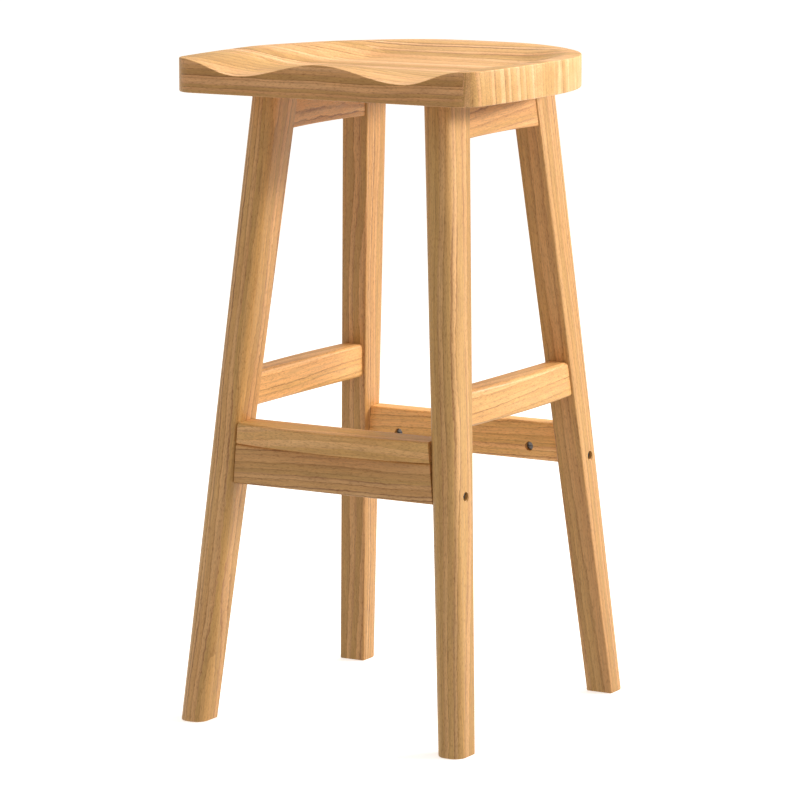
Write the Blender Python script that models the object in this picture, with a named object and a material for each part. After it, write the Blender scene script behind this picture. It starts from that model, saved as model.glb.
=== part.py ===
"""Bar stool with a saddle seat, four splayed legs and a footrest.

Metres, +Z up.  The floor is z = 0 and the origin is under the middle of the
stool.  The sitter faces -Y, so the footrest is on the -Y side.

Each side of the stool is a glued frame: a front leg, a back leg, an apron under
the seat and a side rail, held with dowels.  The front and back rails join the
two side frames with a connector bolt and a barrel nut at each end.  The tread
lies on the front rail, and the seat is screwed down through the aprons.
"""
import math

import bmesh
import bpy
from mathutils import Matrix, Vector

# ---- driving dimensions ------------------------------------------------------
GAP = 0.0003                 # play between pieces that touch
SEAT_UNDERSIDE = 0.712       # height of the frame
SEAT_THICKNESS = 0.038

LEG_WIDTH = 0.033            # along X, the same all the way down
LEG_DEPTH_FOOT = 0.035       # along Y
LEG_DEPTH_TOP = 0.055
LEG_ROUND = 0.0142           # the two arrises that face out, front or back
LEG_EASE = 0.0025            # the two arrises that face the middle of the stool
FOOT_X = 0.184               # outer faces of the legs at the floor ...
FOOT_Y = 0.1972
TOP_X = 0.1262               # ... and under the seat
TOP_Y = 0.1292

SEAT_HALF_WIDTH = 0.1975     # the ends are widest at SEAT_WIDEST_Y
SEAT_WIDEST_Y = -0.040
SEAT_FRONT_Y = -0.189
SEAT_BACK_Y = 0.188
SEAT_CORNER = 0.028          # radius of the two front corners in plan
SEAT_END_DRAW = 0.009        # how far the ends draw in towards the front
SEAT_FULLNESS = 2.50         # exponent of the curve round the back
HOLLOW_DEPTH = 0.0165        # saddle, below the rim
HOLLOW_X = 0.105             # deepest line of each thigh hollow
HOLLOW_EDGE_X = 0.178        # where the front wave is back at full height
DISH_EASE = 0.060            # width of the slope from the rim into the dish
POMMEL_END_Y = -0.010        # the ridge between the hollows fades out here
SHOULDER_DROP = 0.0014       # the rim falls this much round the back corners
SHOULDER = (0.05, 0.15, -0.02, 0.08)    # where the fall starts and ends, in X and Y
SEAT_GRID = 0.011            # spacing of the cuts that carry the saddle

APRON_BOTTOM = 0.6667
APRON_ARCH = 0.0012
APRON_THICK = 0.0295
APRON_RECESS = 0.0014        # back from the outer faces of the legs

SIDE_RAIL_BOTTOM = 0.3543
SIDE_RAIL_TOP = 0.3942
SIDE_RAIL_THICK = 0.027
SIDE_RAIL_RECESS = 0.0024
SIDE_RAIL_BOW = 0.005        # of the outward face, at mid-length

CROSS_RAIL_BOTTOM = 0.2722
CROSS_RAIL_TOP = 0.3172
CROSS_RAIL_FACE_Y = 0.1615   # outward face of the front and of the back rail
CROSS_RAIL_THICK = 0.025

TREAD_THICK = 0.0242
TREAD_END_GAP = 0.0006
TREAD_REAR_Y = -0.125
TREAD_BOW = 0.014            # forward, at mid-length

ARRIS = 0.003                # eased long edges of rails, aprons and tread

DOWEL_RADIUS = 0.004
DOWEL_LENGTH = 0.030
SIDE_DOWEL_HEIGHTS = {"rail": (0.365, 0.383), "apron": (0.681, 0.699)}

BOLT_Z = 0.282               # on the outer face of the leg
BOLT_Y = {"front": -0.1445, "back": 0.148}
BOLT_SINK = 0.003            # top of the head, below the face of the leg
BOLT_HEAD_RADIUS = 0.0047
BOLT_HEAD_HEIGHT = 0.005
BOLT_SHANK_RADIUS = 0.003
BOLT_LENGTH = 0.070
SOCKET_RADIUS = 0.0023
SOCKET_DEPTH = 0.003
NUT_DISTANCE = 0.074         # from the face of the leg, along the bolt
NUT_RADIUS = 0.005
NUT_LENGTH = 0.014
LOCATING_DOWEL_RISE = 0.021  # above the bolt

SEAT_SCREW_Y = 0.042
TREAD_SCREW_X = 0.055
SCREW_RADIUS = 0.002
SCREW_HEAD_RADIUS = 0.004
SCREW_LENGTH = 0.045
SEAT_SCREW_HEAD_Z = 0.680
TREAD_SCREW_HEAD_Z = 0.286

ROUND_SIDES = 16

SIDES = {"left": -1, "right": 1}
ENDS = {"front": -1, "back": 1}
SPLAY = math.atan((FOOT_X - TOP_X) / SEAT_UNDERSIDE)

OAK = (0.60, 0.36, 0.17)
BEECH = (0.66, 0.44, 0.26)
STEEL = (0.42, 0.41, 0.40)


# ---- the frame as functions of height ---------------------------------------
def between(low, high, z):
    return low + (high - low) * z / SEAT_UNDERSIDE


def leg_outer_x(z):
    return between(FOOT_X, TOP_X, z)


def leg_outer_y(z):
    return between(FOOT_Y, TOP_Y, z)


def leg_inner_x(z):
    return leg_outer_x(z) - LEG_WIDTH


def leg_inner_y(z):
    return leg_outer_y(z) - between(LEG_DEPTH_FOOT, LEG_DEPTH_TOP, z)


# ---- small tools -------------------------------------------------------------
def clear_scene():
    for obj in list(bpy.data.objects):
        bpy.data.objects.remove(obj)


def finish(name, bm, colour, roughness=0.45, metallic=0.0):
    """Turn a bmesh into a named object with its own material."""
    bmesh.ops.recalc_face_normals(bm, faces=bm.faces)
    mesh = bpy.data.meshes.new(name)
    bm.to_mesh(mesh)
    bm.free()
    material = bpy.data.materials.new(name + "_finish")
    material.use_nodes = True
    shader = material.node_tree.nodes["Principled BSDF"]
    shader.inputs["Base Color"].default_value = (*colour, 1.0)
    shader.inputs["Roughness"].default_value = roughness
    shader.inputs["Metallic"].default_value = metallic
    mesh.materials.append(material)
    obj = bpy.data.objects.new(name, mesh)
    bpy.context.scene.collection.objects.link(obj)
    mesh.shade_smooth()
    mesh.set_sharp_from_angle(angle=math.radians(30))
    return obj


def cut(obj, bm, label):
    """Take the closed shapes in bm out of obj."""
    cutter = finish(f"{obj.name}_{label}_cutter", bm, OAK)
    cutter.hide_render = True
    cutter.display_type = "WIRE"
    modifier = obj.modifiers.new(label, "BOOLEAN")
    modifier.operation = "DIFFERENCE"
    modifier.solver = "EXACT"
    modifier.object = cutter


def turned(bm, profile, start, direction, sides=ROUND_SIDES):
    """Spin (radius, distance) points into a round solid along direction."""
    turn = direction.to_track_quat("Z", "Y").to_matrix().to_4x4()
    place = Matrix.Translation(start) @ turn
    points = [bm.verts.new((radius, 0.0, along)) for radius, along in profile]
    chain = [bm.edges.new(pair) for pair in zip(points, points[1:])]
    bmesh.ops.spin(bm, geom=points + chain, axis=(0, 0, 1), cent=(0, 0, 0),
                   angle=math.tau, steps=sides, use_merge=True)
    verts = list(reachable(points[1]))
    bmesh.ops.remove_doubles(bm, verts=verts, dist=0.00001)
    verts = list(reachable(next(v for v in verts if v.is_valid)))
    bmesh.ops.transform(bm, matrix=place, verts=verts)


def reachable(vert):
    """Every vertex joined to this one by edges."""
    found = {vert}
    waiting = [vert]
    while waiting:
        for edge in waiting.pop().link_edges:
            for other in edge.verts:
                if other not in found:
                    found.add(other)
                    waiting.append(other)
    return found


def extruded(bm, outline, bottom, height):
    """Raise a flat outline into a solid, and return the points of its top."""
    base = bm.faces.new([bm.verts.new((x, y, bottom)) for x, y in outline])
    raised = bmesh.ops.extrude_face_region(bm, geom=[base])
    top = [item for item in raised["geom"] if isinstance(item, bmesh.types.BMVert)]
    bmesh.ops.translate(bm, vec=(0, 0, height), verts=top)
    return top


def pin(bm, radius, start, direction, length):
    turned(bm, [(0, 0), (radius, 0), (radius, length), (0, length)], start, direction)


# ---- legs --------------------------------------------------------------------
def corner_arc(centre, radius, from_deg, steps):
    """Points of a quarter circle in plan, anticlockwise."""
    points = []
    for step in range(steps + 1):
        angle = math.radians(from_deg + 90 * step / steps)
        points.append((centre[0] + radius * math.cos(angle),
                       centre[1] + radius * math.sin(angle)))
    return points


def foot_section():
    """Plan of the back right foot, anticlockwise from its outer side."""
    x0, x1 = leg_inner_x(0), leg_outer_x(0)
    y0, y1 = leg_inner_y(0), leg_outer_y(0)
    return (corner_arc((x1 - LEG_ROUND, y1 - LEG_ROUND), LEG_ROUND, 0, 6)
            + corner_arc((x0 + LEG_ROUND, y1 - LEG_ROUND), LEG_ROUND, 90, 6)
            + corner_arc((x0 + LEG_EASE, y0 + LEG_EASE), LEG_EASE, 180, 3)
            + corner_arc((x1 - LEG_EASE, y0 + LEG_EASE), LEG_EASE, 270, 3))


def make_leg(side, end):
    """The foot raised to the seat, leaned in both ways and deepened as it rises."""
    height = SEAT_UNDERSIDE - GAP
    bm = bmesh.new()
    for vert in extruded(bm, foot_section(), 0, height):
        face_y = leg_outer_y if vert.co.y > FOOT_Y - LEG_DEPTH_FOOT / 2 else leg_inner_y
        vert.co.x += leg_outer_x(height) - leg_outer_x(0)
        vert.co.y += face_y(height) - face_y(0)
    bmesh.ops.scale(bm, vec=(SIDES[side], ENDS[end], 1), verts=bm.verts)
    return finish(f"leg_{end}_{side}", bm, OAK)


# ---- bars: rails, aprons and tread -------------------------------------------
def make_bar(name, width, height, place, stations=12):
    """A box with eased long edges, cut across at stations and bent by place.

    place(s, across, up) gives the world point: s runs from -1 to 1 along the bar,
    across and up run from 0 to width and to height.
    """
    bm = bmesh.new()
    bmesh.ops.create_cube(bm, size=1.0)
    bmesh.ops.scale(bm, vec=(2.0, width, height), verts=bm.verts)
    long_edges = [e for e in bm.edges if abs(e.verts[0].co.x - e.verts[1].co.x) > 1]
    bmesh.ops.bevel(bm, geom=long_edges, offset=ARRIS, segments=2, profile=0.5,
                    affect="EDGES", material=-1)
    for step in range(1, stations):
        bmesh.ops.bisect_plane(bm, geom=bm.verts[:] + bm.edges[:] + bm.faces[:],
                               dist=0.000001, plane_no=(1, 0, 0),
                               plane_co=(-1 + 2 * step / stations, 0, 0))
    for vert in bm.verts:
        s, across, up = vert.co
        vert.co = place(s, across + width / 2, up + height / 2)
    return finish(name, bm, OAK)


def make_apron(side):
    sx = SIDES[side]
    height = SEAT_UNDERSIDE - GAP - APRON_BOTTOM

    def place(s, across, up):
        arch = APRON_ARCH * (1 - s * s) * (1 - up / height)
        z = APRON_BOTTOM + up + arch
        x = leg_outer_x(z) - APRON_RECESS - across
        return Vector((sx * x, s * (leg_inner_y(z) - GAP), z))

    return make_bar(f"apron_{side}", APRON_THICK, height, place)


def make_side_rail(side):
    sx = SIDES[side]
    height = SIDE_RAIL_TOP - SIDE_RAIL_BOTTOM

    def place(s, across, up):
        z = SIDE_RAIL_BOTTOM + up
        bow = SIDE_RAIL_BOW * (1 - s * s) * (1 - across / SIDE_RAIL_THICK)
        x = leg_outer_x(z) - SIDE_RAIL_RECESS - across + bow
        return Vector((sx * x, s * (leg_inner_y(z) - GAP), z))

    return make_bar(f"side_rail_{side}", SIDE_RAIL_THICK, height, place)


def make_cross_rail(end):
    sy = ENDS[end]

    def place(s, across, up):
        z = CROSS_RAIL_BOTTOM + up
        y = CROSS_RAIL_FACE_Y - across
        return Vector((s * (leg_inner_x(z) - GAP), sy * y, z))

    height = CROSS_RAIL_TOP - CROSS_RAIL_BOTTOM
    return make_bar(f"{end}_rail", CROSS_RAIL_THICK, height, place, stations=4)


def make_tread():
    depth = CROSS_RAIL_FACE_Y + TREAD_REAR_Y

    def place(s, across, up):
        z = CROSS_RAIL_TOP + GAP + up
        forward = across / depth
        y = TREAD_REAR_Y - across - TREAD_BOW * (1 - s * s) * forward
        return Vector((s * (leg_inner_x(z) - TREAD_END_GAP), y, z))

    return make_bar("footrest_tread", depth, TREAD_THICK, place, stations=16)


# ---- seat --------------------------------------------------------------------
def seat_edge_x(y):
    """Half the width of the seat at y, without its front corners."""
    if y < SEAT_WIDEST_Y:
        run = (SEAT_WIDEST_Y - y) / (SEAT_WIDEST_Y - SEAT_FRONT_Y)
        return SEAT_HALF_WIDTH - SEAT_END_DRAW * run * run
    run = min(1.0, (y - SEAT_WIDEST_Y) / (SEAT_BACK_Y - SEAT_WIDEST_Y))
    return SEAT_HALF_WIDTH * (1 - run ** SEAT_FULLNESS) ** (1 / SEAT_FULLNESS)


def seat_outline():
    """Right half of the plan from the front middle to the back middle."""
    points = []
    corner_y = SEAT_FRONT_Y + SEAT_CORNER
    corner_x = seat_edge_x(corner_y) - SEAT_CORNER
    points += [(x, y) for x, y in corner_arc((corner_x, corner_y), SEAT_CORNER, -90, 6)]
    for step in range(1, 9):
        y = corner_y + (SEAT_WIDEST_Y - corner_y) * step / 8
        points.append((seat_edge_x(y), y))
    for step in range(1, 16):
        angle = math.pi / 2 * step / 16
        power = 2 / SEAT_FULLNESS
        x = SEAT_HALF_WIDTH * math.cos(angle) ** power
        y = SEAT_WIDEST_Y + (SEAT_BACK_Y - SEAT_WIDEST_Y) * math.sin(angle) ** power
        points.append((x, y))
    return points


def smooth(value):
    value = min(1.0, max(0.0, value))
    return value * value * (3 - 2 * value)


def front_wave(x):
    """0 on the pommel and at the corners, 1 on the lines of the hollows."""
    if x < HOLLOW_X:
        return 0.5 - 0.5 * math.cos(math.pi * x / HOLLOW_X)
    run = min(1.0, (x - HOLLOW_X) / (HOLLOW_EDGE_X - HOLLOW_X))
    return 0.5 + 0.5 * math.cos(math.pi * run)


def saddle_depth(x, y):
    """How far the top lies below the rim at (x, y)."""
    x = abs(x)
    edge = seat_edge_x(y)
    rim = 0.014
    across = smooth((edge - rim - x) / DISH_EASE)
    back = smooth((SEAT_BACK_Y - 0.016 - y) / (DISH_EASE * 1.3))
    opening = smooth((y - SEAT_FRONT_Y) / (POMMEL_END_Y - SEAT_FRONT_Y))
    profile = front_wave(x) * (1 - opening) + across * opening
    x0, x1, y0, y1 = SHOULDER
    fall = smooth((x - x0) / (x1 - x0)) * smooth((y - y0) / (y1 - y0))
    return HOLLOW_DEPTH * profile * back + SHOULDER_DROP * fall


def make_seat():
    right = seat_outline()
    left = [(-x, y) for x, y in reversed(right)]
    outline = right + [(0.0, SEAT_BACK_Y)] + left
    bm = bmesh.new()
    top_z = SEAT_UNDERSIDE + SEAT_THICKNESS
    extruded(bm, outline, SEAT_UNDERSIDE, SEAT_THICKNESS)
    columns = int(SEAT_HALF_WIDTH / SEAT_GRID)
    rows = int((SEAT_BACK_Y - SEAT_FRONT_Y) / SEAT_GRID)
    cuts = [((step * SEAT_GRID, 0, 0), (1, 0, 0)) for step in range(-columns, columns + 1)]
    cuts += [((0, SEAT_FRONT_Y + step * SEAT_GRID, 0), (0, 1, 0))
             for step in range(1, rows + 1)]
    for point, normal in cuts:
        faces = [f for f in bm.faces if all(v.co.z > top_z - 1e-6 for v in f.verts)]
        edges = list({e for f in faces for e in f.edges})
        verts = list({v for f in faces for v in f.verts})
        bmesh.ops.bisect_plane(bm, geom=verts + edges + faces, dist=0.0002,
                               plane_co=point, plane_no=normal)
    for vert in bm.verts:
        if vert.co.z > top_z - 1e-6:
            vert.co.z -= saddle_depth(vert.co.x, vert.co.y)
    bmesh.ops.triangulate(bm, faces=bm.faces)
    return finish("seat", bm, OAK)


# ---- fastenings ----------------------------------------------------------------
def side_dowel_place(side, end, height, recess, thick):
    """Middle of a dowel between a leg and an apron or side rail."""
    x = leg_outer_x(height) - recess - thick / 2
    return Vector((SIDES[side] * x, ENDS[end] * leg_inner_y(height), height))


def side_dowels():
    """(name, leg, bar, middle, direction) of each dowel in the side frames."""
    bars = (("rail", "side_rail", SIDE_RAIL_RECESS, SIDE_RAIL_THICK),
            ("apron", "apron", APRON_RECESS, APRON_THICK))
    for kind, bar, recess, thick in bars:
        for side in SIDES:
            for end in ENDS:
                for level, height in zip(("lower", "upper"), SIDE_DOWEL_HEIGHTS[kind]):
                    middle = side_dowel_place(side, end, height, recess, thick)
                    name = f"{kind}_dowel_{end}_{side}_{level}"
                    yield (name, f"leg_{end}_{side}", f"{bar}_{side}", middle,
                           Vector((0, ENDS[end], 0)))


def bolt_axis(side, end):
    """Point where a bolt enters the leg, and its direction, square to the leg."""
    start = Vector((SIDES[side] * leg_outer_x(BOLT_Z), BOLT_Y[end], BOLT_Z))
    direction = Vector((-SIDES[side] * math.cos(SPLAY), 0, math.sin(SPLAY)))
    return start, direction


def locating_dowel(side, end):
    """Middle and direction of the dowel above a bolt, across the joint."""
    start, direction = bolt_axis(side, end)
    up = Vector((SIDES[side] * math.sin(SPLAY), 0, math.cos(SPLAY)))
    joint = LEG_WIDTH * math.cos(SPLAY)
    return start + direction * joint + up * LOCATING_DOWEL_RISE, direction


def make_dowel(name, middle, direction, parts):
    """A dowel, and the hole for it in each of the parts it joins."""
    bm = bmesh.new()
    pin(bm, DOWEL_RADIUS, middle - direction * DOWEL_LENGTH / 2, direction, DOWEL_LENGTH)
    finish(name, bm, BEECH, roughness=0.6)
    room = DOWEL_LENGTH + 0.002
    for part in parts:
        hole = bmesh.new()
        pin(hole, DOWEL_RADIUS + GAP, middle - direction * room / 2, direction, room)
        cut(part, hole, name)


def make_bolt(side, end, parts):
    start, direction = bolt_axis(side, end)
    head = start + direction * BOLT_SINK
    shank_end = BOLT_HEAD_HEIGHT + BOLT_LENGTH
    bm = bmesh.new()
    turned(bm, [(0, 0), (BOLT_HEAD_RADIUS - 0.0006, 0), (BOLT_HEAD_RADIUS, 0.0006),
                (BOLT_HEAD_RADIUS, BOLT_HEAD_HEIGHT), (BOLT_SHANK_RADIUS, BOLT_HEAD_HEIGHT),
                (BOLT_SHANK_RADIUS, shank_end - 0.001), (BOLT_SHANK_RADIUS - 0.001, shank_end),
                (0, shank_end)], head, direction)
    bolt = finish(f"{end}_bolt_{side}", bm, STEEL, 0.35, 1.0)
    socket = bmesh.new()
    turned(socket, [(0, -0.001), (SOCKET_RADIUS, -0.001), (SOCKET_RADIUS, SOCKET_DEPTH),
                    (0, SOCKET_DEPTH)], head, direction, sides=6)
    cut(bolt, socket, "socket")
    seat_depth = BOLT_SINK + BOLT_HEAD_HEIGHT + GAP
    for part in parts:
        hole = bmesh.new()
        turned(hole, [(0, -0.004), (BOLT_HEAD_RADIUS + GAP, -0.004),
                      (BOLT_HEAD_RADIUS + GAP, seat_depth),
                      (BOLT_SHANK_RADIUS + GAP, seat_depth),
                      (BOLT_SHANK_RADIUS + GAP, seat_depth + BOLT_LENGTH + 0.003),
                      (0, seat_depth + BOLT_LENGTH + 0.003)], start, direction)
        cut(part, hole, f"{end}_bolt_{side}")


def make_barrel_nut(side, end, rail):
    """A cross dowel nut, let in from the face that looks at the stool's middle."""
    start, direction = bolt_axis(side, end)
    middle = start + direction * NUT_DISTANCE
    inward = Vector((0, -ENDS[end], 0))
    bm = bmesh.new()
    pin(bm, NUT_RADIUS, middle - inward * NUT_LENGTH / 2, inward, NUT_LENGTH)
    nut = finish(f"{end}_barrel_nut_{side}", bm, STEEL, 0.4, 1.0)
    thread = bmesh.new()
    pin(thread, BOLT_SHANK_RADIUS + GAP / 2, middle - direction * 0.01, direction, 0.02)
    cut(nut, thread, "thread")
    slot = bmesh.new()
    bmesh.ops.create_cube(slot, size=1.0)
    bmesh.ops.scale(slot, vec=(0.014, 0.003, 0.0014), verts=slot.verts)
    bmesh.ops.translate(slot, vec=middle + inward * NUT_LENGTH / 2, verts=slot.verts)
    cut(nut, slot, "slot")
    hole = bmesh.new()
    pin(hole, NUT_RADIUS + GAP, middle - inward * (NUT_LENGTH / 2 + 0.001), inward, 0.04)
    cut(rail, hole, f"{end}_barrel_nut_{side}")


def make_screw(name, foot, parts):
    """An upright wood screw, with its head sunk in the part it comes up through."""
    up = Vector((0, 0, 1))
    bm = bmesh.new()
    turned(bm, [(0, 0), (SCREW_HEAD_RADIUS, 0), (SCREW_HEAD_RADIUS, 0.001),
                (SCREW_RADIUS, 0.0032), (SCREW_RADIUS, SCREW_LENGTH - 0.006),
                (0, SCREW_LENGTH)], foot, up, sides=12)
    finish(name, bm, STEEL, 0.4, 1.0)
    for part in parts:
        hole = bmesh.new()
        turned(hole, [(0, -0.02), (SCREW_HEAD_RADIUS + GAP, -0.02),
                      (SCREW_HEAD_RADIUS + GAP, 0.001 + GAP), (SCREW_RADIUS + GAP, 0.0035),
                      (SCREW_RADIUS + GAP, SCREW_LENGTH + 0.001),
                      (0, SCREW_LENGTH + 0.001)], foot, up, sides=12)
        cut(part, hole, name)


# ---- assembly ------------------------------------------------------------------
def build():
    clear_scene()
    parts = {}
    for obj in ([make_leg(side, end) for side in SIDES for end in ENDS]
                + [make_apron(side) for side in SIDES]
                + [make_side_rail(side) for side in SIDES]
                + [make_cross_rail(end) for end in ENDS]
                + [make_tread(), make_seat()]):
        parts[obj.name] = obj
    for name, leg, bar, middle, direction in side_dowels():
        make_dowel(name, middle, direction, (parts[leg], parts[bar]))
    for side in SIDES:
        for end in ENDS:
            pair = (parts[f"leg_{end}_{side}"], parts[f"{end}_rail"])
            make_bolt(side, end, pair)
            make_barrel_nut(side, end, parts[f"{end}_rail"])
            middle, direction = locating_dowel(side, end)
            make_dowel(f"locating_dowel_{end}_{side}", middle, direction, pair)
    for side, sx in SIDES.items():
        x = leg_outer_x(SEAT_SCREW_HEAD_Z) - APRON_RECESS - APRON_THICK / 2
        for end, sy in ENDS.items():
            make_screw(f"seat_screw_{end}_{side}",
                       Vector((sx * x, sy * SEAT_SCREW_Y, SEAT_SCREW_HEAD_Z)),
                       (parts[f"apron_{side}"], parts["seat"]))
        y = CROSS_RAIL_THICK / 2 - CROSS_RAIL_FACE_Y
        make_screw(f"tread_screw_{side}", Vector((sx * TREAD_SCREW_X, y, TREAD_SCREW_HEAD_Z)),
                   (parts["front_rail"], parts["footrest_tread"]))


build()
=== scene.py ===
"""Looks of a bar stool in lacquered oak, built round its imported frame.

Metres, +Z up.  The sitter faces -Y.  Every board is made again here with eased
arrises and a carved seat, and has an oak of its own.  The bolts and barrel nuts
are turned again with their sockets and slots, and the dowels and screws keep
their CAD solids.
"""
import math

import bmesh
import bpy
from mathutils import Matrix, Vector


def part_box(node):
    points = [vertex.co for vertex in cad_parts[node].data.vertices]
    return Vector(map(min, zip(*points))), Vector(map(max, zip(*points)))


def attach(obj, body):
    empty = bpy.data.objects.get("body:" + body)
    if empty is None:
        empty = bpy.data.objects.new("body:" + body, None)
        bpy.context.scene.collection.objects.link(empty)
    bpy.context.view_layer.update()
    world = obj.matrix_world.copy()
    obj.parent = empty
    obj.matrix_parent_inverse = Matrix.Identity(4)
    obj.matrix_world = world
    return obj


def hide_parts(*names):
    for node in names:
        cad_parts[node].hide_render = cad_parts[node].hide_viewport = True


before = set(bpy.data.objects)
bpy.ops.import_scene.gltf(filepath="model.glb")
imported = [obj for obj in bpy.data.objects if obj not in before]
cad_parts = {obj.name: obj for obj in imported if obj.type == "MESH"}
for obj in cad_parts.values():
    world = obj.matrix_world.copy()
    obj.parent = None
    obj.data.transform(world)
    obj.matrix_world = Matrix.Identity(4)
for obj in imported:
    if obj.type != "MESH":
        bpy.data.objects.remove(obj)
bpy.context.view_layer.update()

SIDES = {"left": -1, "right": 1}
ENDS = {"front": -1, "back": 1}

# ---- sizes, read from the frame ----------------------------------------------
LEG_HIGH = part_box("leg_back_right")[1]
SEAT_LOW, SEAT_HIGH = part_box("seat")
APRON_LOW, APRON_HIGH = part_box("apron_right")
SIDE_RAIL_LOW, SIDE_RAIL_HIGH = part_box("side_rail_right")
CROSS_LOW, CROSS_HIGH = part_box("back_rail")
TREAD_LOW, TREAD_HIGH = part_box("footrest_tread")

SEAT_UNDERSIDE = SEAT_LOW[2]
SEAT_TOP = SEAT_HIGH[2]
FOOT_X = LEG_HIGH[0]
FOOT_Y = LEG_HIGH[1]

# ---- sizes that the frame's boxes don't give ---------------------------------
GAP = 0.0003                 # play between pieces that touch
TOP_X = 0.1262               # outer faces of the legs, under the seat
TOP_Y = 0.1292
LEG_WIDTH = 0.033            # along X, the same all the way down
LEG_DEPTH_FOOT = 0.035       # along Y
LEG_DEPTH_TOP = 0.055
LEG_ROUND = 0.0142           # the two arrises that face out, front or back
LEG_EASE = 0.0022            # the two arrises that face the middle of the stool
SOLE_EASE = 0.0010           # round the sole
SPLAY = math.atan((FOOT_X - TOP_X) / SEAT_UNDERSIDE)

SEAT_HALF_WIDTH = 0.1975     # the ends are widest at SEAT_WIDEST_Y
SEAT_WIDEST_Y = -0.040
SEAT_FRONT_Y = SEAT_LOW[1]
SEAT_BACK_Y = SEAT_HIGH[1]
SEAT_CORNER = 0.028          # radius of the two front corners in plan
SEAT_END_DRAW = 0.009        # how far the ends draw in towards the front
SEAT_FULLNESS = 2.50         # exponent of the curve round the back
SEAT_ARRIS = 0.0014
HOLLOW_DEPTH = 0.0165        # saddle, below the rim
HOLLOW_X = 0.105             # deepest line of each thigh hollow
HOLLOW_EDGE_X = 0.178        # where the front wave is back at full height
DISH_EASE = 0.060            # width of the slope from the rim into the dish
END_RIM = 0.014              # level rim left at the ends and at the back
BACK_RIM = 0.016
POMMEL_END_Y = -0.010        # the ridge between the hollows fades out here
SHOULDER_DROP = 0.0014       # the rim falls this much round the back corners
SHOULDER = (0.05, 0.15, -0.02, 0.08)    # where the fall starts and ends, in X and Y

APRON_ARCH = 0.0012
APRON_THICK = 0.0295
APRON_RECESS = 0.0014        # back from the outer faces of the legs
APRON_ARRIS = 0.0022
SIDE_RAIL_THICK = 0.027
SIDE_RAIL_RECESS = 0.0024
SIDE_RAIL_BOW = 0.005        # of the outward face, at mid-length
SIDE_RAIL_ARRIS = 0.0046
TREAD_REAR_Y = TREAD_HIGH[1]
TREAD_BOW = 0.014            # forward, at mid-length
TREAD_END_GAP = 0.0006
ARRIS = 0.003                # eased long edges of the cross rails and the tread

BOLT_Z = 0.282               # on the outer face of the leg
BOLT_Y = {"front": -0.1445, "back": 0.148}
BOLT_SINK = 0.003            # top of the head, below the face of the leg
BOLT_HEAD_HEIGHT = 0.005
BOLT_HEAD_RADIUS = 0.0047
BOLT_SHANK_RADIUS = 0.003
BOLT_LENGTH = 0.075
BOLT_PLAY = 0.0005           # of the head in its counterbore
SOCKET_RADIUS = 0.0023       # hexagon socket, across its corners
SOCKET_DEPTH = 0.003
NUT_DISTANCE = 0.074         # from the face of the leg, along the bolt
NUT_RADIUS = 0.005
NUT_LENGTH = 0.014
NUT_EASE = 0.0006
NUT_SLOT = (0.014, 0.003, 0.0014)
SCREW_BORE_RADIUS = 0.0045   # clearance for a screw's head, up to its underside
SCREW_BORE_DEPTH = 0.0013

CRISP_ANGLE = 32             # edges that turn by more degrees than this stay crisp
SEAT_CRISP_ANGLE = 50        # the same for the carved seat


def between(low, high, z):
    """A size that runs evenly from low at the floor to high under the seat."""
    return low + (high - low) * z / SEAT_UNDERSIDE


def leg_outer_x(z):
    """Outer face of a leg, away from the stool's middle, at height z."""
    return between(FOOT_X, TOP_X, z)


def leg_outer_y(z):
    """Face of a leg that looks forward or back, at height z."""
    return between(FOOT_Y, TOP_Y, z)


def leg_inner_x(z):
    """Inner face of a leg, where the cross rails and the tread end."""
    return leg_outer_x(z) - LEG_WIDTH


def leg_inner_y(z):
    """Inner face of a leg, where the aprons and the side rails end."""
    return leg_outer_y(z) - between(LEG_DEPTH_FOOT, LEG_DEPTH_TOP, z)


# ---- materials ---------------------------------------------------------------
# tints of lacquered oak: summer wood from its darkest year to its palest, with each
# tint's place on a ramp, then the dark spring wood and the open pores
OAK_MIDDLE = "#CFA163"
SUMMER_YELLOW = ((0.15, "#BC8F51"), (0.40, "#CDA15F"), (0.62, "#D9AE6F"), (0.85, "#E6C083"))
SUMMER_ORANGE = ((0.15, "#B57F4A"), (0.40, "#CA9358"), (0.62, "#D8A468"), (0.85, "#E4B67C"))
SPRING_WOOD = "#76400E"
OPEN_PORE = "#824E14"
STAVE_SHIFT = (1.7, 0.004, 0.006)       # furthest shift of a stave, along and across


def colour(hex_value):
    """An sRGB hex value as linear red, green, blue and alpha."""
    channels = [int(hex_value[i:i + 2], 16) / 255 for i in (1, 3, 5)]
    linear = [c / 12.92 if c <= 0.04045 else ((c + 0.055) / 1.055) ** 2.4 for c in channels]
    return (*linear, 1.0)


def add(tree, kind, inputs=None, **settings):
    """Add a node with its settings; inputs are values or other nodes' outputs."""
    new = tree.nodes.new(kind)
    for key, value in settings.items():
        setattr(new, key, value)
    for socket, value in (inputs or {}).items():
        if isinstance(value, bpy.types.NodeSocket):
            tree.links.new(value, new.inputs[socket])
        else:
            new.inputs[socket].default_value = value
    return new


def ramp(tree, factor, stops):
    """A colour ramp; stops are (position, colour) pairs."""
    new = add(tree, "ShaderNodeValToRGB", {0: factor})
    elements = new.color_ramp.elements
    while len(elements) < len(stops):
        elements.new(0.5)
    for element, (position, value) in zip(elements, stops):
        element.position = position
        element.color = value
    return new.outputs[0]


def shifted(hex_value, pale, contrast):
    """A wood tint made paler, and moved away from the middle tint by contrast."""
    middle = colour(OAK_MIDDLE)
    tint = colour(hex_value)
    return (*(pale * m * (t / m) ** contrast for t, m in zip(tint[:3], middle[:3])), 1.0)


def grey(value):
    """A grey for ramps that carry a strength and not a colour."""
    return (value, value, value, 1.0)


def new_material(name):
    """A material, its node tree and its shader."""
    material = bpy.data.materials.new(name)
    material.use_nodes = True
    return material, material.node_tree, material.node_tree.nodes["Principled BSDF"]


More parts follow.
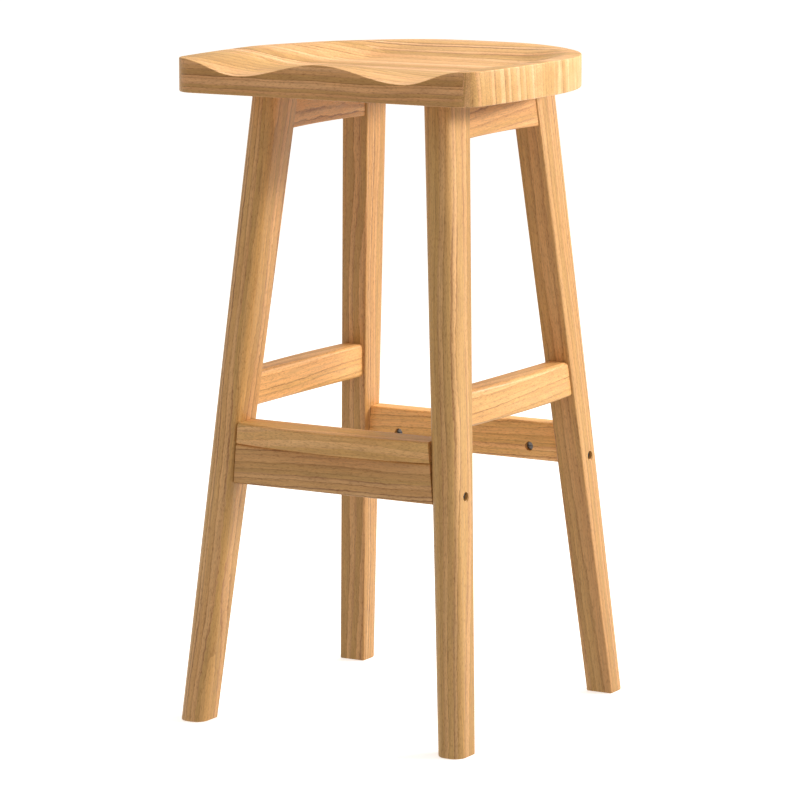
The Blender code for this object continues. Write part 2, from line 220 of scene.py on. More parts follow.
def maths(tree, operation, *values):
    """The result of one sum on numbers or on other nodes' outputs."""
    return add(tree, "ShaderNodeMath", dict(enumerate(values)), operation=operation).outputs[0]


def span(tree, value, low, high, to_low=0.0, to_high=1.0):
    """value moved from one range to another, and kept inside it."""
    return add(tree, "ShaderNodeMapRange", {"Value": value, "From Min": low, "From Max": high,
                                            "To Min": to_low, "To Max": to_high}).outputs[0]


def blend(tree, factor, first, second, blend_type="MIX"):
    """Two colours mixed by factor."""
    return add(tree, "ShaderNodeMix", {"Factor": factor, 6: first, 7: second},
               data_type="RGBA", blend_type=blend_type).outputs[2]


def noise(tree, board, per_metre, detail=2.0, roughness=0.5):
    """Noise with this many turns per metre along the board, and across it."""
    along, across = per_metre
    place = add(tree, "ShaderNodeVectorMath", {0: board, 1: (along, across, across)},
                operation="MULTIPLY").outputs[0]
    return add(tree, "ShaderNodeTexNoise", {"Vector": place, "Scale": 1.0, "Detail": detail,
                                            "Roughness": roughness}).outputs


def trunk_growth(tree, board):
    """Distance from the heart, with the slow wander of a grown trunk."""
    section = add(tree, "ShaderNodeVectorMath", {0: board, 1: (0, 1, 1)},
                  operation="MULTIPLY").outputs[0]
    radius = add(tree, "ShaderNodeVectorMath", {0: section}, operation="LENGTH")
    wander = noise(tree, board, (3.4, 16), roughness=0.4)[0]
    return maths(tree, "MULTIPLY_ADD", wander, 0.020, radius.outputs["Value"])


def seat_growth(tree, board, ends, front):
    """Growth over the seat: broad stripes along the top that bend with the hollows,
    upright bands on the ends, and wavy level lines on the front edge."""
    place = add(tree, "ShaderNodeSeparateXYZ", {0: board}).outputs
    wander = noise(tree, board, (4.0, 9), roughness=0.4)[0]
    rise = maths(tree, "MULTIPLY", place["Z"], span(tree, ends, 0, 1, 1.15, 0.10))
    rise = maths(tree, "MULTIPLY_ADD", wander, 0.016, rise)
    flat = maths(tree, "MULTIPLY_ADD", place["Y"], span(tree, ends, 0, 1, 0.38, 1.0), rise)
    level = maths(tree, "MULTIPLY_ADD", place["Z"], 1.25,
                  maths(tree, "MULTIPLY", wander, 0.022))
    mixed = add(tree, "ShaderNodeMix", {"Factor": front, "A": flat, "B": level})
    return mixed.outputs[0]


def staves(tree, place, board, stave):
    """Shift each stave of a glued-up plank to another stretch of wood."""
    across = add(tree, "ShaderNodeSeparateXYZ", {0: place}).outputs["Y"]
    number = maths(tree, "FLOOR", maths(tree, "DIVIDE", across, stave))
    lot = add(tree, "ShaderNodeTexWhiteNoise", {"W": number}, noise_dimensions="1D")
    shift = add(tree, "ShaderNodeVectorMath", {0: lot.outputs["Color"], 1: STAVE_SHIFT},
                operation="MULTIPLY").outputs[0]
    return add(tree, "ShaderNodeVectorMath", {0: board, 1: shift}, operation="ADD").outputs[0]


def oak(name, node, heart, ring, lines, seed, grain=(1, 0, 0), warm=0.0, pale=1.0,
        contrast=1.0, stave=0.0):
    """Clear-lacquered oak, sawn from a log whose heart runs along grain.

    heart is how far the log's middle lies from the middle of the board, ring the
    yearly growth, and lines the strength of the dark spring wood.  warm turns the
    board from yellow to orange, and pale lightens it.  Spring wood gives thin brown
    lines, and summer wood broad bands whose tint changes from year to year.
    contrast sets how far those tints lie apart.  seed picks another stretch of the
    log.  The seat is glued up from staves this wide, each from another stretch.
    """
    material, tree, shader = new_material(name)
    turn = Vector(grain).normalized().rotation_difference(Vector((1, 0, 0)))
    low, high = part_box(node)
    middle = turn @ ((Vector(low) + Vector(high)) / 2)
    spot = add(tree, "ShaderNodeTexCoord").outputs
    board = add(tree, "ShaderNodeMapping", {
        "Vector": spot["Object"], "Rotation": turn.to_euler(),
        "Location": (seed * 0.731 - middle.x, heart[0] - middle.y, heart[1] - middle.z)})
    board = board.outputs[0]
    if stave:
        board = staves(tree, spot["Object"], board, stave)
        facing = add(tree, "ShaderNodeSeparateXYZ", {0: spot["Normal"]}).outputs
        ends = span(tree, maths(tree, "ABSOLUTE", facing["X"]), 0.40, 0.65)
        front = span(tree, facing["Y"], -0.60, -0.85)
        growth = seat_growth(tree, board, ends, front)
        # fewer dark lines show on the ends and on the front edge than on the top
        lines = maths(tree, "MULTIPLY", span(tree, ends, 0, 1, lines, lines * 0.65),
                      span(tree, front, 0, 1, 1.0, 0.70))
    else:
        growth = trunk_growth(tree, board)

    # the fibres waver a little, so no line is quite straight; less so on the seat,
    # whose carved top cuts the rings at a flat angle and draws every waver out
    waver = 0.0011 if stave else 0.0026
    growth = maths(tree, "MULTIPLY_ADD", noise(tree, board, (75, 190))[0], waver, growth)
    # good and poor years come in runs, so the rings draw together and spread again
    years = maths(tree, "DIVIDE", growth, ring)
    spread = add(tree, "ShaderNodeTexNoise", {"W": years, "Scale": 0.5, "Detail": 1.0},
                 noise_dimensions="1D").outputs[0]
    years = maths(tree, "MULTIPLY_ADD", spread, 1.8, years)
    season = maths(tree, "FRACT", years)
    luck = add(tree, "ShaderNodeTexWhiteNoise", {"W": maths(tree, "FLOOR", years)},
               noise_dimensions="1D").outputs
    luck_of = add(tree, "ShaderNodeSeparateColor", {0: luck["Color"]}).outputs

    # summer wood: a tint for each year, and slow clouds along the board
    cloud = noise(tree, board, (6, 60), detail=3.0)
    tint = add(tree, "ShaderNodeMix", {"Factor": 0.42, "A": luck["Value"],
                                       "B": cloud[0]}).outputs[0]
    hue = add(tree, "ShaderNodeMix", {"Factor": 0.5, "A": luck_of["Red"],
                                      "B": cloud["Color"]}).outputs[0]
    yellow, orange = (
        ramp(tree, tint, [(at, shifted(code, pale, contrast)) for at, code in tints])
        for tints in (SUMMER_YELLOW, SUMMER_ORANGE))
    base = blend(tree, span(tree, hue, 0.35 - warm, 0.65 - warm), yellow, orange)

    # spring wood: a thin dark line where each year starts, stronger in some years
    # and on some stretches of the board than on others
    line = ramp(tree, season, ((0.0, grey(0.35)), (0.05, grey(1.0)), (0.16, grey(0.70)),
                               (0.30, grey(0.20)), (0.80, grey(0.0))))
    strength = span(tree, luck_of["Green"], 0, 1, 0.20, 1.30)
    stretch = span(tree, noise(tree, board, (9, 200))[0], 0.32, 0.66, 0.40, 1.0)
    line = maths(tree, "MULTIPLY", line, maths(tree, "MULTIPLY", strength, stretch))
    line = add(tree, "ShaderNodeMath", {0: line, 1: lines}, operation="MULTIPLY",
               use_clamp=True).outputs[0]
    base = blend(tree, line, base, shifted(SPRING_WOOD, pale, 1))

    # fibre, about 1.5 mm wide: real oak's is finer, and this is as fine as shows
    fibre = noise(tree, board, (26, 640), roughness=0.6)[0]
    shade = ramp(tree, fibre, ((0.32, grey(0.85)), (0.68, grey(1.10))))
    base = blend(tree, 1.0, base, shade, "MULTIPLY")

    # pores: open vessels, short dark flecks 3 to 6 mm long, most in the spring wood
    pore = ramp(tree, noise(tree, board, (230, 950), detail=1.0)[0],
                ((0.52, grey(0.0)), (0.68, grey(1.0))))
    pore = maths(tree, "MULTIPLY", pore, maths(tree, "MULTIPLY_ADD", line, 0.5, 0.30))
    base = blend(tree, pore, base, shifted(OPEN_PORE, pale, 1))
    if stave:
        # end grain is paler under lacquer than the flat of a board; the top is made
        # paler as painted light from above, and the front edge browner as painted shade
        base = blend(tree, ends, base, (1.10, 1.14, 1.30, 1), "MULTIPLY")
        # painted light: faces that look up are made paler, as if lit more from above
        top = span(tree, facing["Z"], 0.50, 0.90)
        base = blend(tree, top, base, (1.02, 1.06, 1.20, 1), "MULTIPLY")
        # painted shade: faces that look forward, away from the key light, are made browner
        base = blend(tree, front, base, (0.86, 0.81, 0.80, 1), "MULTIPLY")
    tree.links.new(base, shader.inputs["Base Color"])

    # satin lacquer: the pores still show through it as faint dents
    tree.links.new(span(tree, fibre, 0.3, 0.7, 0.38, 0.52), shader.inputs["Roughness"])
    relief = maths(tree, "MULTIPLY_ADD", pore, -1.0, fibre)
    bump = add(tree, "ShaderNodeBump", {"Height": relief, "Strength": 0.35,
                                        "Distance": 0.0003})
    tree.links.new(bump.outputs[0], shader.inputs["Normal"])
    shader.inputs["IOR"].default_value = 1.5
    # a thin coat, rubbed down, shines a little less than solid lacquer
    shader.inputs["Specular IOR Level"].default_value = 0.36
    return material


def plated_steel():
    """Zinc-plated steel, turned and then tumbled: a dull mid grey."""
    material, tree, shader = new_material("zinc_plated_steel")
    place = add(tree, "ShaderNodeTexCoord").outputs["Object"]
    # tool marks 0.4 mm apart: real ones are finer, and these are as fine as shows
    marks = add(tree, "ShaderNodeTexNoise", {"Vector": place, "Scale": 2400.0, "Detail": 3.0})
    tone = ramp(tree, marks.outputs[0], ((0.3, colour("#5E5E5E")), (0.7, colour("#878787"))))
    tree.links.new(tone, shader.inputs["Base Color"])
    tree.links.new(span(tree, marks.outputs[0], 0, 1, 0.28, 0.48),
                   shader.inputs["Roughness"])
    shader.inputs["Metallic"].default_value = 1.0
    return material


def dowel_beech():
    """Bare beech dowel, turned and unfinished: pink-brown with short dark flecks."""
    material, tree, shader = new_material("bare_beech")
    place = add(tree, "ShaderNodeTexCoord").outputs["Object"]
    # flecks about 1 mm across: real rays are half as wide
    rays = add(tree, "ShaderNodeTexNoise", {"Vector": place, "Scale": 900.0, "Detail": 2.0})
    tone = ramp(tree, rays.outputs[0], ((0.35, colour("#B98B66")), (0.65, colour("#D1AA85"))))
    tree.links.new(tone, shader.inputs["Base Color"])
    shader.inputs["Roughness"].default_value = 0.7
    return material


# ---- small tools -------------------------------------------------------------
def finish(name, bm, material, node, sharp=CRISP_ANGLE):
    """Turn a bmesh into a piece that stands for a CAD node, if one is given."""
    bmesh.ops.recalc_face_normals(bm, faces=bm.faces)
    mesh = bpy.data.meshes.new(name)
    bm.to_mesh(mesh)
    bm.free()
    mesh.materials.append(material)
    mesh.shade_smooth()
    mesh.set_sharp_from_angle(angle=math.radians(sharp))
    piece = bpy.data.objects.new(name, mesh)
    bpy.context.scene.collection.objects.link(piece)
    if node:
        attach(piece, "root")
        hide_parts(node)
    return piece


def cut(piece, bm):
    """Take a closed shape out of a piece for good."""
    cutter = finish("cutter", bm, piece.data.materials[0], None)
    modifier = piece.modifiers.new("cut", "BOOLEAN")
    modifier.solver = "EXACT"
    modifier.object = cutter
    bpy.context.view_layer.update()
    shape = piece.evaluated_get(bpy.context.evaluated_depsgraph_get())
    mesh = bpy.data.meshes.new_from_object(shape)
    piece.modifiers.clear()
    old = piece.data
    piece.data = mesh
    mesh.name = old.name
    bpy.data.meshes.remove(old)
    used = cutter.data
    bpy.data.objects.remove(cutter)
    bpy.data.meshes.remove(used)
    mesh.set_sharp_from_angle(angle=math.radians(CRISP_ANGLE))


def turned(profile, start, direction, sides=40):
    """Spin (radius, distance) points into a round solid along direction."""
    bm = bmesh.new()
    points = [bm.verts.new((radius, 0.0, along)) for radius, along in profile]
    chain = [bm.edges.new(pair) for pair in zip(points, points[1:])]
    bmesh.ops.spin(bm, geom=points + chain, axis=(0, 0, 1), cent=(0, 0, 0),
                   angle=math.tau, steps=sides, use_merge=True)
    bmesh.ops.remove_doubles(bm, verts=bm.verts, dist=0.00001)
    turn = direction.to_track_quat("Z", "Y").to_matrix().to_4x4()
    bmesh.ops.transform(bm, matrix=Matrix.Translation(start) @ turn, verts=bm.verts)
    return bm


def corner_arc(centre, radius, from_deg, steps):
    """Points of a quarter circle in plan, anticlockwise."""
    points = []
    for step in range(steps + 1):
        angle = math.radians(from_deg + 90 * step / steps)
        points.append((centre[0] + radius * math.cos(angle),
                       centre[1] + radius * math.sin(angle)))
    return points


def extruded(bm, outline, bottom, height):
    """Raise a flat outline into a solid, and return the points of its top."""
    base = bm.faces.new([bm.verts.new((x, y, bottom)) for x, y in outline])
    raised = bmesh.ops.extrude_face_region(bm, geom=[base])
    top = [item for item in raised["geom"] if isinstance(item, bmesh.types.BMVert)]
    bmesh.ops.translate(bm, vec=(0, 0, height), verts=top)
    return top


# ---- legs --------------------------------------------------------------------
def leg_grain(side, end, drift=0.0):
    """The way up a leg; drift tilts the grain a little off the leg's line."""
    return (SIDES[side] * (TOP_X - FOOT_X + drift),
            ENDS[end] * (TOP_Y - FOOT_Y + (LEG_DEPTH_FOOT - LEG_DEPTH_TOP) / 2),
            SEAT_UNDERSIDE)


def make_leg(side, end, material):
    """The foot raised to the seat, leaned in both ways and deepened as it rises."""
    x0, x1 = leg_inner_x(0), leg_outer_x(0)
    y0, y1 = leg_inner_y(0), leg_outer_y(0)
    foot = (corner_arc((x1 - LEG_ROUND, y1 - LEG_ROUND), LEG_ROUND, 0, 14)
            + corner_arc((x0 + LEG_ROUND, y1 - LEG_ROUND), LEG_ROUND, 90, 14)
            + corner_arc((x0 + LEG_EASE, y0 + LEG_EASE), LEG_EASE, 180, 5)
            + corner_arc((x1 - LEG_EASE, y0 + LEG_EASE), LEG_EASE, 270, 5))
    height = SEAT_UNDERSIDE - GAP
    bm = bmesh.new()
    top = extruded(bm, foot, 0, height)
    sole = [e for e in bm.edges if all(v.co.z < 0.0001 for v in e.verts)]
    for vert in top:
        face_y = leg_outer_y if vert.co.y > FOOT_Y - LEG_DEPTH_FOOT / 2 else leg_inner_y
        vert.co.x += leg_outer_x(height) - leg_outer_x(0)
        vert.co.y += face_y(height) - face_y(0)
    bmesh.ops.bevel(bm, geom=sole, offset=SOLE_EASE, segments=3, profile=0.5,
                    affect="EDGES", material=-1)
    bmesh.ops.scale(bm, vec=(SIDES[side], ENDS[end], 1), verts=bm.verts)
    node = f"leg_{end}_{side}"
    return finish(f"turned_out_{node}", bm, material, node)


# ---- bars: rails, aprons and tread -------------------------------------------
def make_bar(name, node, width, height, place, material, arris=ARRIS, stations=32):
    """A box with eased edges, cut across at stations and bent by place."""
    bm = bmesh.new()
    bmesh.ops.create_cube(bm, size=1.0)
    bmesh.ops.scale(bm, vec=(2.0, width, height), verts=bm.verts)
    long_edges = [e for e in bm.edges if abs(e.verts[0].co.x - e.verts[1].co.x) > 1]
    bmesh.ops.bevel(bm, geom=long_edges, offset=arris, segments=6, profile=0.5,
                    affect="EDGES", material=-1)
    for step in range(1, stations):
        bmesh.ops.bisect_plane(bm, geom=bm.verts[:] + bm.edges[:] + bm.faces[:],
                               dist=0.000001, plane_no=(1, 0, 0),
                               plane_co=(-1 + 2 * step / stations, 0, 0))
    for vert in bm.verts:
        s, across, up = vert.co
        vert.co = place(s, across + width / 2, up + height / 2)
    return finish(name, bm, material, node)


def make_apron(side, material):
    """The board under an end of the seat, its lower edge cut to a slight arch."""
    sx = SIDES[side]
    bottom = APRON_LOW[2]
    height = APRON_HIGH[2] - bottom

    def place(s, across, up):
        z = bottom + up + APRON_ARCH * (1 - s * s) * (1 - up / height)
        x = leg_outer_x(z) - APRON_RECESS - across
        return Vector((sx * x, s * (leg_inner_y(z) - GAP), z))

    return make_bar(f"eased_apron_{side}", f"apron_{side}", APRON_THICK, height, place,
                    material, arris=APRON_ARRIS)


def make_side_rail(side, material):
    """The rail between a front and a back leg; only its outward face is bowed."""
    sx = SIDES[side]
    bottom = SIDE_RAIL_LOW[2]
    height = SIDE_RAIL_HIGH[2] - bottom

    def place(s, across, up):
        z = bottom + up
        bow = SIDE_RAIL_BOW * (1 - s * s) * (1 - across / SIDE_RAIL_THICK)
        x = leg_outer_x(z) - SIDE_RAIL_RECESS - across + bow
        return Vector((sx * x, s * (leg_inner_y(z) - GAP), z))

    return make_bar(f"bowed_side_rail_{side}", f"side_rail_{side}", SIDE_RAIL_THICK,
                    height, place, material, arris=SIDE_RAIL_ARRIS)


def make_cross_rail(end, material):
    """The straight rail between the two front or the two back legs."""
    sy = ENDS[end]
    bottom = CROSS_LOW[2]

    def place(s, across, up):
        z = bottom + up
        return Vector((s * (leg_inner_x(z) - GAP), sy * (CROSS_HIGH[1] - across), z))

    return make_bar(f"eased_{end}_rail", f"{end}_rail", CROSS_HIGH[1] - CROSS_LOW[1],
                    CROSS_HIGH[2] - bottom, place, material)


def make_tread(material):
    """The footrest's board: straight along its rear edge, bowed along its front."""
    depth = CROSS_HIGH[1] + TREAD_REAR_Y
    bottom = TREAD_LOW[2]

    def place(s, across, up):
        z = bottom + up
        y = TREAD_REAR_Y - across - TREAD_BOW * (1 - s * s) * across / depth
        return Vector((s * (leg_inner_x(z) - TREAD_END_GAP), y, z))

    return make_bar("bowed_tread", "footrest_tread", depth, TREAD_HIGH[2] - bottom,
                    place, material)


# ---- seat --------------------------------------------------------------------
def seat_edge_x(y):
    """Half the width of the seat at y, without its front corners."""
    if y < SEAT_WIDEST_Y:
        run = (SEAT_WIDEST_Y - y) / (SEAT_WIDEST_Y - SEAT_FRONT_Y)
        return SEAT_HALF_WIDTH - SEAT_END_DRAW * run * run
    run = min(1.0, (y - SEAT_WIDEST_Y) / (SEAT_BACK_Y - SEAT_WIDEST_Y))
    return SEAT_HALF_WIDTH * (1 - run ** SEAT_FULLNESS) ** (1 / SEAT_FULLNESS)


def seat_outline():
    """Plan of the seat, anticlockwise from the front right."""
    corner_y = SEAT_FRONT_Y + SEAT_CORNER
    corner_x = seat_edge_x(corner_y) - SEAT_CORNER
    points = [(corner_x * step / 30, SEAT_FRONT_Y) for step in range(1, 30)]
    points += corner_arc((corner_x, corner_y), SEAT_CORNER, -90, 14)
    for step in range(1, 25):
        y = corner_y + (SEAT_WIDEST_Y - corner_y) * step / 24
        points.append((seat_edge_x(y), y))
    for step in range(1, 60):
        angle = math.pi / 2 * step / 60
        power = 2 / SEAT_FULLNESS
        x = SEAT_HALF_WIDTH * math.cos(angle) ** power
        y = SEAT_WIDEST_Y + (SEAT_BACK_Y - SEAT_WIDEST_Y) * math.sin(angle) ** power
        points.append((x, y))
    left = [(-x, y) for x, y in reversed(points)]
    return points + [(0.0, SEAT_BACK_Y)] + left + [(0.0, SEAT_FRONT_Y)]


def smooth(value):
    """0 to 1 along an S-curve, level at both ends."""
    value = min(1.0, max(0.0, value))
    return value * value * (3 - 2 * value)


def front_wave(x):
    """0 on the pommel and at the corners, 1 on the lines of the hollows."""
    if x < HOLLOW_X:
        return 0.5 - 0.5 * math.cos(math.pi * x / HOLLOW_X)
    run = min(1.0, (x - HOLLOW_X) / (HOLLOW_EDGE_X - HOLLOW_X))
    return 0.5 + 0.5 * math.cos(math.pi * run)


def saddle_depth(x, y):
    """How far the top lies below the rim at (x, y)."""
    x = abs(x)
    across = smooth((seat_edge_x(y) - END_RIM - x) / DISH_EASE)
    back = smooth((SEAT_BACK_Y - BACK_RIM - y) / (DISH_EASE * 1.3))
    opening = smooth((y - SEAT_FRONT_Y) / (POMMEL_END_Y - SEAT_FRONT_Y))
    profile = front_wave(x) * (1 - opening) + across * opening
    x0, x1, y0, y1 = SHOULDER
    fall = smooth((x - x0) / (x1 - x0)) * smooth((y - y0) / (y1 - y0))
    return HOLLOW_DEPTH * profile * back + SHOULDER_DROP * fall


def make_seat(material):
    """A thick board cut to its outline, its arrises rounded and its top carved."""
    bm = bmesh.new()
    top = extruded(bm, seat_outline(), SEAT_UNDERSIDE, SEAT_TOP - SEAT_UNDERSIDE - SEAT_ARRIS)
    level = top[0].co.z
    underside = [e for e in bm.edges if all(v.co.z < SEAT_UNDERSIDE + 1e-6 for v in e.verts)]
    bmesh.ops.bevel(bm, geom=underside, offset=SEAT_ARRIS, segments=3, profile=0.5,
                    affect="EDGES", material=-1)

    # a quarter round along the upper edge
    face = max(bm.faces, key=lambda f: f.calc_center_median().z)
    steps = 5
    for step in range(steps):
        now, then = (math.pi / 2 * k / steps for k in (step, step + 1))
        bmesh.ops.inset_region(
            bm, faces=[face], use_even_offset=True,
            thickness=SEAT_ARRIS * (math.cos(now) - math.cos(then)),
            depth=SEAT_ARRIS * (math.sin(then) - math.sin(now)))
        face = max(bm.faces, key=lambda f: (round(f.calc_center_median().z, 6), len(f.verts)))

    # rings of small faces over the top, which is then carved
    rings = 90
    for ring in range(rings, 1, -1):
        raised = bmesh.ops.extrude_face_region(bm, geom=[face])
        bmesh.ops.delete(bm, geom=[face], context="FACES_ONLY")
        face = next(item for item in raised["geom"] if isinstance(item, bmesh.types.BMFace))
        for vert in face.verts:
            vert.co.x *= (ring - 1) / ring
            vert.co.y *= (ring - 1) / ring
    bmesh.ops.pointmerge(bm, verts=face.verts[:], merge_co=face.calc_center_median())
    for vert in bm.verts:
        if vert.co.z > level - 0.003:
            vert.co.z -= saddle_depth(vert.co.x, vert.co.y)
    return finish("carved_seat", bm, material, "seat", sharp=SEAT_CRISP_ANGLE)


# ---- fastenings --------------------------------------------------------------
def bolt_axis(side, end):
    """Point where a bolt enters the leg, and its direction, square to the leg."""
    start = Vector((SIDES[side] * leg_outer_x(BOLT_Z), BOLT_Y[end], BOLT_Z))
    return start, Vector((-SIDES[side] * math.cos(SPLAY), 0, math.sin(SPLAY)))


def fasten(side, end, leg, rail, steel):
    """The bolt in its counterbore, and the barrel nut in the rail."""
    start, direction = bolt_axis(side, end)
    wide = BOLT_HEAD_RADIUS + BOLT_PLAY
    deep = BOLT_SINK + BOLT_HEAD_HEIGHT + GAP
    cut(leg, turned([(0, -0.004), (wide + 0.0006, -0.004), (wide + 0.0006, 0), (wide, 0.0005),
                     (wide, deep), (0, deep)], start, direction))
    head = start + direction * BOLT_SINK
    radius = BOLT_HEAD_RADIUS
    bolt = turned([(0, 0), (radius - 0.0012, 0), (radius - 0.0007, 0.0001),
                   (radius - 0.0002, 0.0004), (radius, 0.0009),
                   (radius, BOLT_HEAD_HEIGHT - 0.0001), (BOLT_SHANK_RADIUS, BOLT_HEAD_HEIGHT),
                   (BOLT_SHANK_RADIUS, BOLT_LENGTH - 0.001),
                   (BOLT_SHANK_RADIUS - 0.001, BOLT_LENGTH), (0, BOLT_LENGTH)],
                  head, direction)
    bolt = finish(f"socket_bolt_{end}_{side}", bolt, steel, f"{end}_bolt_{side}")
    cut(bolt, turned([(0, -0.001), (SOCKET_RADIUS + 0.0003, -0.001),
                      (SOCKET_RADIUS + 0.0003, 0.0004), (SOCKET_RADIUS, 0.0007),
                      (SOCKET_RADIUS, SOCKET_DEPTH), (0, SOCKET_DEPTH + 0.0006)],
                     head, direction, sides=6))

    middle = start + direction * NUT_DISTANCE
    inward = Vector((0, -ENDS[end], 0))
    mouth = middle - inward * NUT_LENGTH / 2
    cut(rail, turned([(0, -0.001), (NUT_RADIUS + GAP, -0.001), (NUT_RADIUS + GAP, 0.04),
                      (0, 0.04)], mouth, inward))
    nut = turned([(0, 0), (NUT_RADIUS - NUT_EASE, 0), (NUT_RADIUS, NUT_EASE),
                  (NUT_RADIUS, NUT_LENGTH - NUT_EASE), (NUT_RADIUS - NUT_EASE, NUT_LENGTH),
                  (0, NUT_LENGTH)], mouth, inward)
    nut = finish(f"slotted_nut_{end}_{side}", nut, steel, f"{end}_barrel_nut_{side}")
    slot = bmesh.new()
    bmesh.ops.create_cube(slot, size=1.0)
    bmesh.ops.scale(slot, vec=NUT_SLOT, verts=slot.verts)
    bmesh.ops.translate(slot, vec=middle + inward * NUT_LENGTH / 2, verts=slot.verts)
    cut(nut, slot)


def screw_bore(piece, node):
    """Clearance bore for the head of a screw that is let in from below."""
    low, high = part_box(node)
    foot = Vector(((low[0] + high[0]) / 2, (low[1] + high[1]) / 2, low[2]))
    cut(piece, turned([(0, -0.02), (SCREW_BORE_RADIUS, -0.02),
                       (SCREW_BORE_RADIUS, SCREW_BORE_DEPTH), (0, SCREW_BORE_DEPTH)],
                      foot, Vector((0, 0, 1)), sides=24))


# ---- the stool ---------------------------------------------------------------
# how each board is cut from its log, and its tint: see oak. Some pale values also
# carry painted light: they lift the shade that falls on some boards
LEG_WOOD = {
    # partly painted light: the front left leg's pale also lifts the shadow cast on its inner
    # face by the other legs and rails
    ("front", "left"): dict(heart=(0.035, 0.055), ring=0.0052, lines=0.80, seed=1,
                            pale=1.06),
    ("front", "right"): dict(heart=(0.045, -0.060), ring=0.0060, lines=0.60, seed=2,
                             warm=-0.08),
    ("back", "left"): dict(heart=(-0.050, 0.040), ring=0.0048, lines=0.75, seed=3,
                           warm=0.05),
    ("back", "right"): dict(heart=(0.050, 0.035), ring=0.0056, lines=0.85, seed=4),
}
APRON_WOOD = {
    # partly painted light: the left apron's higher pale is partly its own tone and partly
    # lifts the shade under the seat on its inner face
    "left": dict(heart=(-0.05, -0.03), pale=1.24, seed=4),
    "right": dict(heart=(0.05, -0.03), pale=1.12, seed=6),
}
SIDE_RAIL_WOOD = {
    # partly painted light: the left side rail is made paler than the right to lift the shadow
    # the right-hand legs cast on its inner face
    "left": dict(pale=1.32, seed=7),
    "right": dict(pale=1.20, seed=9),
}
CROSS_RAIL_WOOD = {
    "front": dict(lines=0.85, warm=0.05, pale=1.0, seed=10),
    # partly painted light: the back rail's high pale also stands in for light bounced onto its
    # front face
    "back": dict(lines=0.65, warm=-0.05, pale=1.5, seed=12),
}
# partly painted light: the tread's pale also lifts the seat's shadow on its top
TREAD_WOOD = dict(heart=(0.05, 0.08), ring=0.0075, lines=0.35, warm=-0.08, pale=1.20,
                  seed=14)
SEAT_WOOD = dict(heart=(0.0, 0.0), ring=0.0062, lines=0.95, pale=1.18, contrast=1.30,
                 seed=15, stave=0.060)


def build_stool():
    """Every board in its own oak, then the fastenings and their bores."""
    steel = plated_steel()
    beech = dowel_beech()
    made = {}
    for (end, side), cutting in LEG_WOOD.items():
        node = f"leg_{end}_{side}"
        wood = oak(f"oak_{node}", node, grain=leg_grain(side, end, 0.006), **cutting)
        made[node] = make_leg(side, end, wood)
    for side in SIDES:
        node = f"apron_{side}"
        wood = oak(f"oak_{node}", node, grain=(0.04, 1, 0.05), ring=0.0060, lines=0.75,
                   warm=0.10, **APRON_WOOD[side])
        made[node] = make_apron(side, wood)
        node = f"side_rail_{side}"
        wood = oak(f"oak_{node}", node, grain=(0.02, 1, 0.03), heart=(0.02, -0.045),
                   ring=0.0070, lines=0.70, **SIDE_RAIL_WOOD[side])
        made[node] = make_side_rail(side, wood)
    for end in ENDS:
        node = f"{end}_rail"
        wood = oak(f"oak_{node}", node, grain=(1, 0, 0.035), heart=(0.03, -0.050),
                   ring=0.0058, **CROSS_RAIL_WOOD[end])
        made[node] = make_cross_rail(end, wood)
    make_tread(oak("oak_tread", "footrest_tread", grain=(1, 0.02, 0.01), **TREAD_WOOD))
    make_seat(oak("oak_seat_staves", "seat", **SEAT_WOOD))

    for side in SIDES:
        for end in ENDS:
            fasten(side, end, made[f"leg_{end}_{side}"], made[f"{end}_rail"], steel)
            screw_bore(made[f"apron_{side}"], f"seat_screw_{end}_{side}")
        screw_bore(made["front_rail"], f"tread_screw_{side}")
    for name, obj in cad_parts.items():
        if "dowel" in name or "screw" in name:
            obj.data.materials.clear()
            obj.data.materials.append(beech if "dowel" in name else steel)


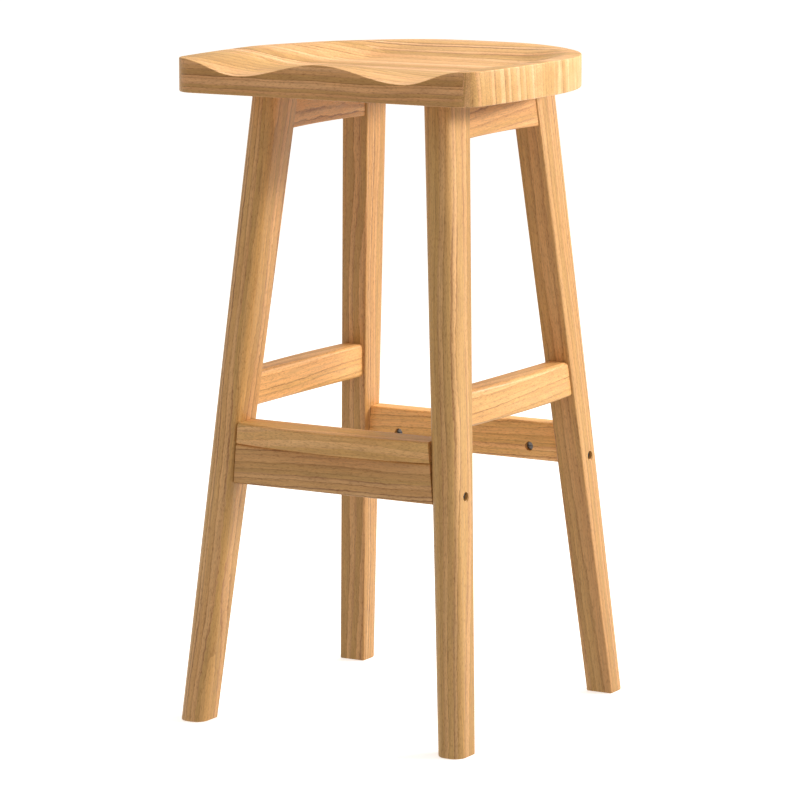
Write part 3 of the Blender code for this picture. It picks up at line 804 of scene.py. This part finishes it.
# ---- camera, floor and light -------------------------------------------------
def build_camera(scene):
    """A long lens, a little above the seat, to the right of the stool's front."""
    lens = bpy.data.cameras.new("camera")
    lens.sensor_width = 36.0
    lens.lens = 187.88
    camera = bpy.data.objects.new("camera", lens)
    camera.location = (2.3485, -4.0537, 1.1430)
    camera.rotation_euler = (math.radians(80.447), 0, math.radians(30.150))
    scene.collection.objects.link(camera)
    scene.camera = camera


def build_floor(scene):
    """A white floor that glows a little, so that it fades into the white round it."""
    bm = bmesh.new()
    bmesh.ops.create_grid(bm, x_segments=1, y_segments=1, size=40.0)
    bmesh.ops.translate(bm, vec=(0, 0, -0.0004), verts=bm.verts)
    mesh = bpy.data.meshes.new("floor")
    bm.to_mesh(mesh)
    bm.free()
    material, _, shader = new_material("white_studio_floor")
    shader.inputs["Base Color"].default_value = colour("#F4F3F1")
    shader.inputs["Roughness"].default_value = 0.9
    shader.inputs["Emission Color"].default_value = (1, 1, 1, 1)
    shader.inputs["Emission Strength"].default_value = 0.58
    mesh.materials.append(material)
    floor = bpy.data.objects.new("floor", mesh)
    floor.visible_diffuse = False
    scene.collection.objects.link(floor)


def build_light(scene):
    """A pale room, a low soft box on the right and behind, and one overhead."""
    world = bpy.data.worlds.new("studio")
    world.use_nodes = True
    sky = world.node_tree.nodes["Background"]
    sky.inputs["Color"].default_value = colour("#FFF9F2")
    sky.inputs["Strength"].default_value = 0.57
    scene.world = world
    for name, place, width, height, power, tint in (
            ("right_soft_box", (2.25, 1.80, 1.50), 2.2, 0.45, 106, "#FFF4E6"),
            ("overhead_soft_box", (0.20, 0.60, 2.90), 1.2, 1.2, 34, "#FFFCF8")):
        light = bpy.data.lights.new(name, "AREA")
        light.shape = "RECTANGLE"
        light.size = width
        light.size_y = height
        light.energy = power
        light.color = colour(tint)[:3]
        lamp = bpy.data.objects.new(name, light)
        lamp.location = place
        aim = Vector((0, 0, 0.45)) - lamp.location
        lamp.rotation_euler = aim.to_track_quat("-Z", "Y").to_euler()
        scene.collection.objects.link(lamp)


def build_studio():
    """The camera, the floor and the light round the stool."""
    scene = bpy.context.scene
    scene.view_settings.view_transform = "Standard"
    build_camera(scene)
    build_floor(scene)
    build_light(scene)


build_studio()
build_stool()
